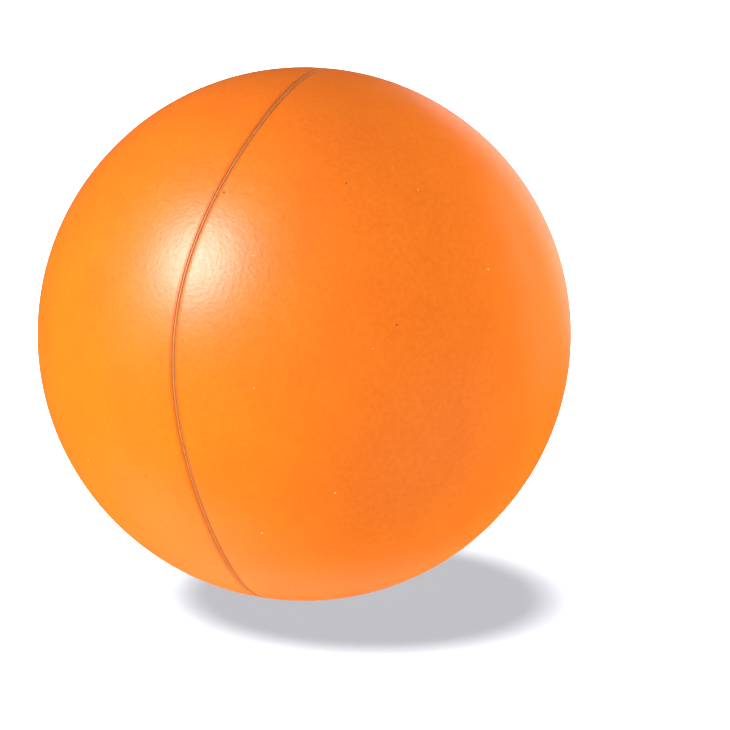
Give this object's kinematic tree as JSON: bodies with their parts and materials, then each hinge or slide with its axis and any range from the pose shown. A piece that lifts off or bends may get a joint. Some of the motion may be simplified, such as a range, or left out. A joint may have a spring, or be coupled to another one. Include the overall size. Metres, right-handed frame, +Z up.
{
  "type": "stress ball",
  "caption": "Round soft foam hand-exercise ball with a satin colour coat and a trimmed parting line, squeezed between palm and fingers.",
  "frame": {"origin": "centre of the ball", "axes": "+X is the way the mould opened, out of the lid half; +Z is up as the ball lies with its parting line upright; the parting plane is square to X and goes through the origin"},
  "size_m": [0.063, 0.063, 0.063],
  "materials": {
    "foam": "open-celled flexible polyurethane foam, unpainted",
    "dense_skin": "dense self-skin of polyurethane foam",
    "colour_coat": "satin orange elastic polyurethane coat",
    "flash": "trimmed flash of coat and skin, darker along its foot"
  },
  "bodies": {
    "core": {"foam_core": "foam", "integral_skin": "dense_skin", "parting_flash": "flash"},
    "pour_side": {"pour_half_coat": "colour_coat"},
    "lid_side": {"lid_half_coat": "colour_coat"}
  },
  "joints": [
    {"name": "squeeze_pour_side", "type": "slide", "parent": "core", "child": "pour_side", "axis": [1, 0, 0], "range_m": [0, 0.015], "stiffness_N_per_m": 3000, "deforming": ["pour_half_coat", "foam_core", "integral_skin", "parting_flash"]},
    {"name": "squeeze_lid_side", "type": "slide", "parent": "core", "child": "lid_side", "axis": [-1, 0, 0], "range_m": [0, 0.015], "stiffness_N_per_m": 3000, "deforming": ["lid_half_coat"]}
  ],
  "couplings": [
    {"joint": "squeeze_lid_side", "follows": "squeeze_pour_side", "ratio": 1}
  ]
}
